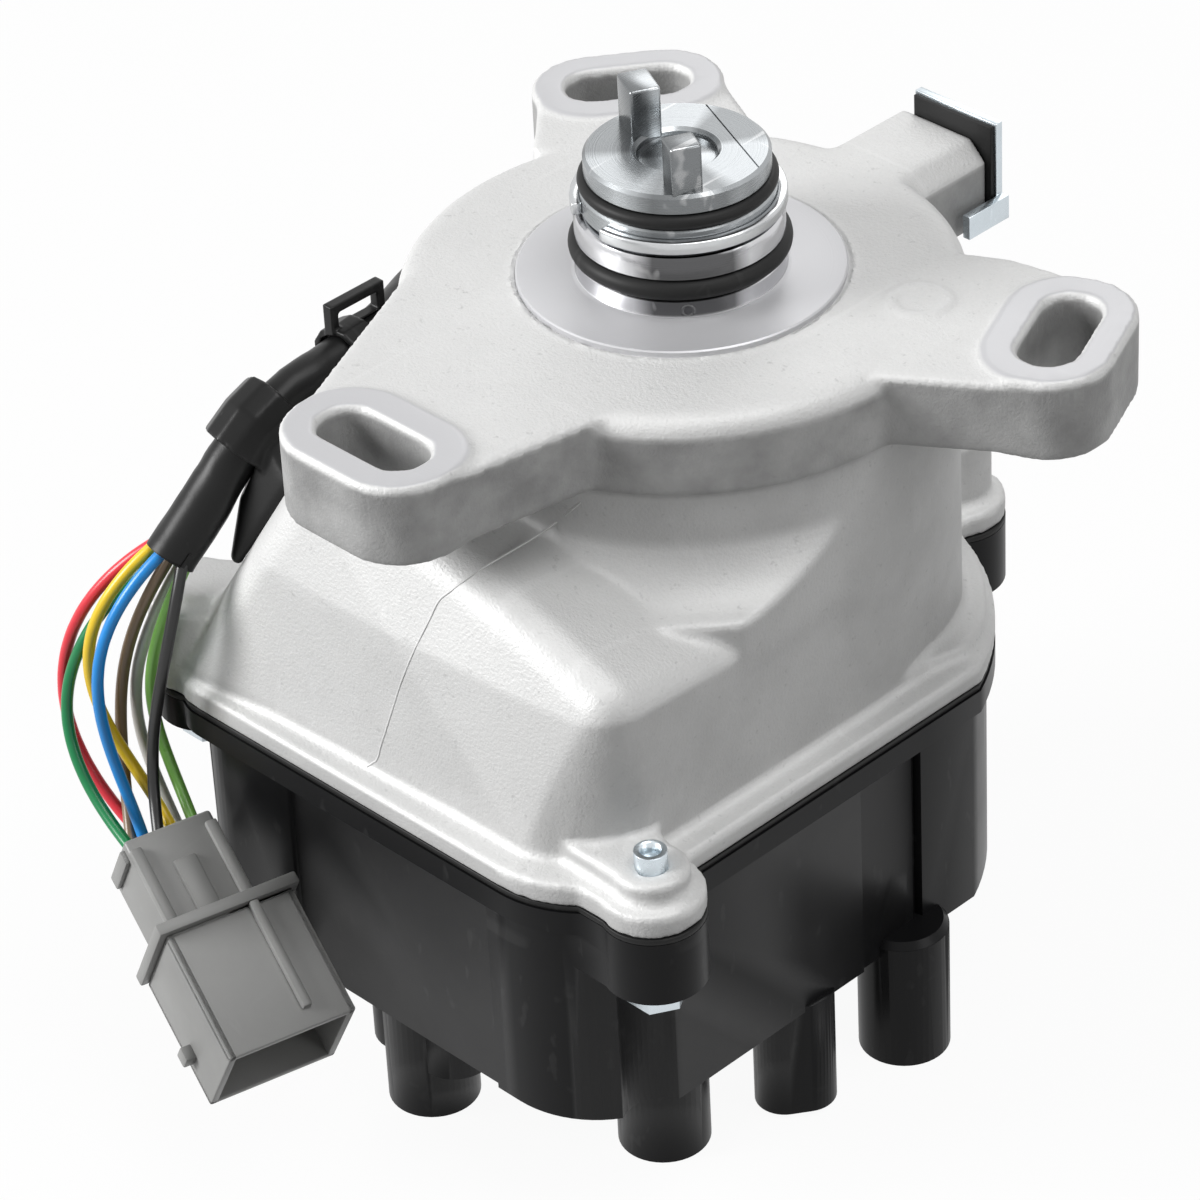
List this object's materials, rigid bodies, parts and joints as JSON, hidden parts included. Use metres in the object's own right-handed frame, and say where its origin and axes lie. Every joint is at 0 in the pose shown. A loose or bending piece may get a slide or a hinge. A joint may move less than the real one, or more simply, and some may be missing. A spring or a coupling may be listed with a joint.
{
  "type": "ignition distributor",
  "caption": "Engine ignition distributor: cast alloy body with slotted ears and an offset-tang drive, black cap with lead towers, and a short lead of coloured wires with a grey plug.",
  "frame": {"origin": "shaft axis on the mounting plane, which is the machined face of the three ears", "axes": "+Z along the shaft towards the drive coupling, -Y through the front ear, +X towards the right wall"},
  "size_m": [0.1294, 0.1556, 0.1573],
  "materials": {
    "cast_alloy": "fine shot-blasted casting",
    "machined_steel": "ground and bright",
    "dark_steel": "plain",
    "spring_steel": "bright",
    "zinc_plate": "zinc plated",
    "bronze": "plain",
    "seal_rubber": "matt",
    "cap_plastic": "satin moulded",
    "inner_plastic": "moulded",
    "coil_plastic": "moulded",
    "carbon": "dull",
    "sleeve_vinyl": "soft vinyl",
    "clip_plastic": "moulded",
    "connector_plastic": "moulded",
    "wire_red": "insulation",
    "wire_green": "insulation",
    "wire_yellow": "insulation",
    "wire_blue": "insulation",
    "wire_brown": "insulation",
    "wire_white": "insulation",
    "wire_lime": "insulation",
    "wire_black": "insulation"
  },
  "bodies": {
    "body": {"housing": "cast_alloy", "neck_o_ring": "seal_rubber", "oil_seal": "seal_rubber", "neck_bush": "bronze", "bearing_outer_ring": "machined_steel", "bearing_retainer": "zinc_plate", "retainer_screws": "zinc_plate", "pickup_carrier": "inner_plastic", "pickup_bobbins": "coil_plastic", "pickup_cores": "dark_steel", "carrier_screws": "zinc_plate", "igniter_module": "inner_plastic", "igniter_screws": "zinc_plate", "coil_body": "cap_plastic", "coil_core": "dark_steel", "coil_screws": "zinc_plate", "coil_terminal": "bronze", "dust_cover": "inner_plastic", "cap": "cap_plastic", "cap_gasket": "seal_rubber", "cap_screws": "zinc_plate", "plug_terminals": "bronze", "centre_conductor": "bronze", "brush_spring": "spring_steel", "end_plate": "zinc_plate", "end_plate_gasket": "seal_rubber", "end_plate_screws": "zinc_plate", "harness_grommet": "seal_rubber", "harness_sleeve": "sleeve_vinyl", "harness_clip": "clip_plastic", "harness_loop": "clip_plastic", "wire_red": "wire_red", "wire_green": "wire_green", "wire_yellow": "wire_yellow", "wire_blue": "wire_blue", "wire_brown": "wire_brown", "wire_white": "wire_white", "wire_lime": "wire_lime", "wire_black": "wire_black", "connector_housing": "connector_plastic", "connector_pins": "machined_steel"},
    "rotor": {"drive_coupling": "machined_steel", "coupling_pin": "dark_steel", "coupling_clip": "spring_steel", "coupling_ring": "seal_rubber", "rotor_shaft": "machined_steel", "bearing_inner_ring": "machined_steel", "shaft_spacer": "machined_steel", "crank_reluctor": "dark_steel", "tdc_reluctor": "dark_steel", "cylinder_reluctor": "dark_steel", "rotor_arm": "coil_plastic", "rotor_electrode": "bronze", "rotor_screw": "zinc_plate"},
    "cage": {"bearing_cage": "bronze", "bearing_balls": "machined_steel"},
    "brush": {"carbon_brush": "carbon"}
  },
  "joints": [
    {"name": "shaft_spin", "type": "hinge", "parent": "body", "child": "rotor", "pos_m": [0, 0, 0], "axis": [0, 0, 1], "continuous": true},
    {"name": "cage_spin", "type": "hinge", "parent": "body", "child": "cage", "pos_m": [0, 0, 0], "axis": [0, 0, 1], "continuous": true},
    {"name": "brush_slide", "type": "slide", "parent": "body", "child": "brush", "axis": [0, 0, 1], "range_m": [-0.002, 0], "stiffness_N_per_m": 100, "springref_m": 0.003, "deforming": ["brush_spring"]}
  ],
  "couplings": [
    {"joint": "cage_spin", "follows": "shaft_spin", "ratio": 0.381}
  ]
}
